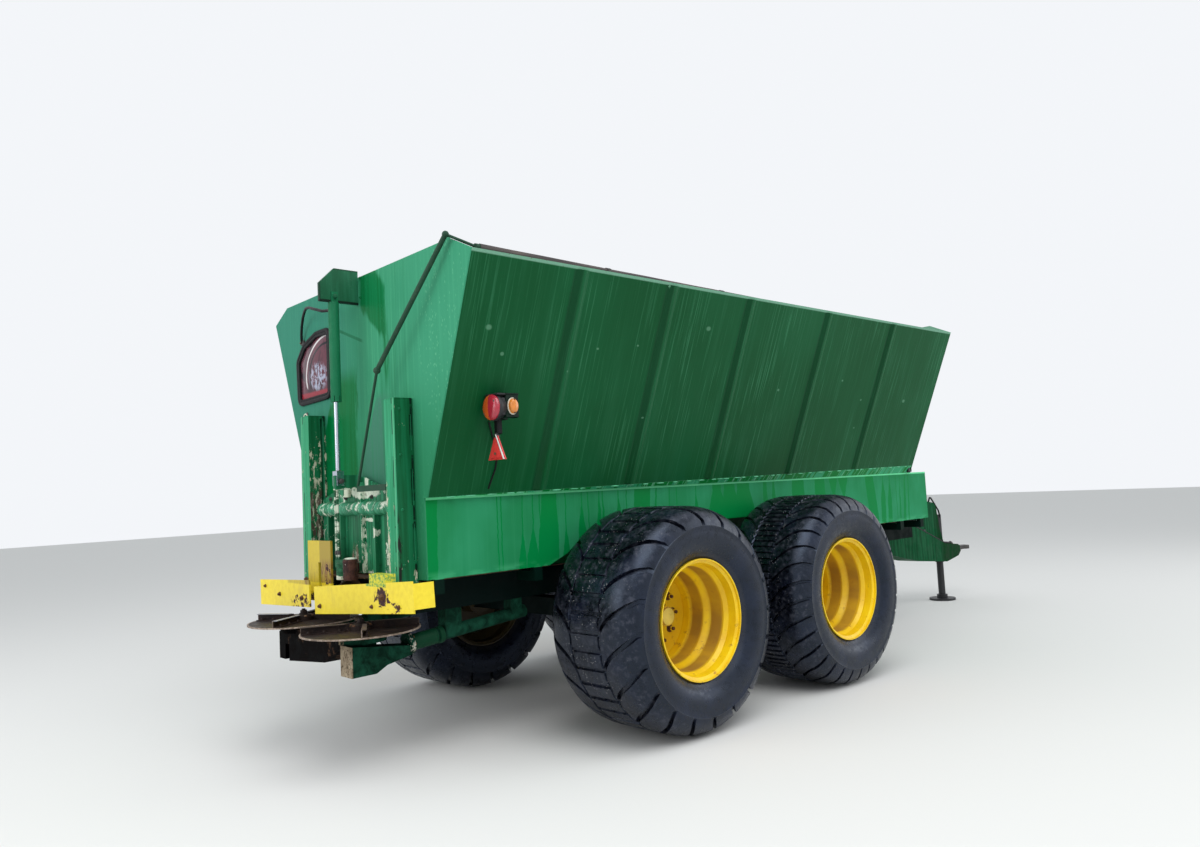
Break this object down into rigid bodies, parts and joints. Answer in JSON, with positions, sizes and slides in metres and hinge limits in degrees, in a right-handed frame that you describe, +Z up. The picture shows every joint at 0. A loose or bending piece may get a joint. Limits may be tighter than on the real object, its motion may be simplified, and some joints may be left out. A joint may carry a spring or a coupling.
{
  "type": "tandem axle manure spreader",
  "caption": "Towed manure spreader with a V-shaped hopper, slatted floor conveyor, sliding rear gate, twin spinner discs, tandem flotation wheels, drawbar and jack.",
  "frame": {"origin": "on the floor under the middle of the machine's overall length, on its centre line", "axes": "+X forward, towards the hitch eye; +Y left; +Z up"},
  "size_m": [8.37, 2.896, 2.85],
  "materials": {
    "side_paint": "dark green paint, satin, streaked by rain",
    "green_paint": "green paint, satin, streaked by rain, lime splashes",
    "frame_paint": "green paint, dusty",
    "yellow_paint": "yellow paint, chipped, rust spots",
    "tyre_rubber": "black rubber, wet sheen",
    "rubber": "black rubber",
    "rod_chrome": "polished chrome rod",
    "rusty_steel": "bare steel, brown rust",
    "worn_steel": "dark worn steel",
    "black_steel": "black paint, dusty",
    "floor_steel": "worn steel, dirty",
    "glass_pane": "clear pane, dusty",
    "lamp_red": "red and orange lens",
    "tarp": "brown woven cover, rolled"
  },
  "bodies": {
    "root": {"side_wall_right": "side_paint", "side_wall_left": "side_paint", "rear_wall": "green_paint", "front_wall": "side_paint", "floor_conveyor": "floor_steel", "skirt_right": "green_paint", "skirt_left": "green_paint", "front_apron": "green_paint", "chassis_rail_right": "frame_paint", "chassis_rail_left": "frame_paint", "cross_members": "frame_paint", "bogie_right": "frame_paint", "bogie_left": "frame_paint", "axle_front": "frame_paint", "axle_rear": "frame_paint", "gate_posts": "green_paint", "gate_barrel": "green_paint", "cylinder_bracket": "green_paint", "hoses": "rubber", "window_frame": "rubber", "window_pane": "glass_pane", "tarp_roll": "tarp", "tarp_crank": "frame_paint", "spinner_frame": "rusty_steel", "guards": "yellow_paint", "lamp_right": "lamp_red", "lamp_left": "lamp_red", "drawbar": "frame_paint", "hitch_eye": "worn_steel", "jack_tube": "black_steel", "pto_input": "worn_steel"},
    "gate": {"gate": "green_paint", "gate_motor": "rusty_steel", "gate_rod": "rod_chrome"},
    "wheel_front_right": {"tyre_front_right": "tyre_rubber", "rim_front_right": "yellow_paint"},
    "wheel_front_left": {"tyre_front_left": "tyre_rubber", "rim_front_left": "yellow_paint"},
    "wheel_rear_right": {"tyre_rear_right": "tyre_rubber", "rim_rear_right": "yellow_paint"},
    "wheel_rear_left": {"tyre_rear_left": "tyre_rubber", "rim_rear_left": "yellow_paint"},
    "spinner_right": {"spinner_right": "rusty_steel"},
    "spinner_left": {"spinner_left": "rusty_steel"},
    "jack": {"jack_leg": "black_steel"}
  },
  "joints": [
    {"name": "wheel_front_right", "type": "hinge", "parent": "root", "child": "wheel_front_right", "pos_m": [-0.6515, 0, 0.6665], "axis": [0, 1, 0], "continuous": true},
    {"name": "wheel_front_left", "type": "hinge", "parent": "root", "child": "wheel_front_left", "pos_m": [-0.6515, 0, 0.6665], "axis": [0, 1, 0], "continuous": true},
    {"name": "wheel_rear_right", "type": "hinge", "parent": "root", "child": "wheel_rear_right", "pos_m": [-2.2385, 0, 0.6665], "axis": [0, 1, 0], "continuous": true},
    {"name": "wheel_rear_left", "type": "hinge", "parent": "root", "child": "wheel_rear_left", "pos_m": [-2.2385, 0, 0.6665], "axis": [0, 1, 0], "continuous": true},
    {"name": "spinner_right", "type": "hinge", "parent": "root", "child": "spinner_right", "pos_m": [-3.865, -0.358, 0.7], "axis": [0, 0, 1], "continuous": true},
    {"name": "spinner_left", "type": "hinge", "parent": "root", "child": "spinner_left", "pos_m": [-3.865, 0.358, 0.7], "axis": [0, 0, 1], "continuous": true},
    {"name": "gate_slide", "type": "slide", "parent": "root", "child": "gate", "axis": [0, 0, 1], "range_m": [0, 0.4]},
    {"name": "jack_slide", "type": "slide", "parent": "root", "child": "jack", "axis": [0, 0, 1], "range_m": [0, 0.36]}
  ]
}
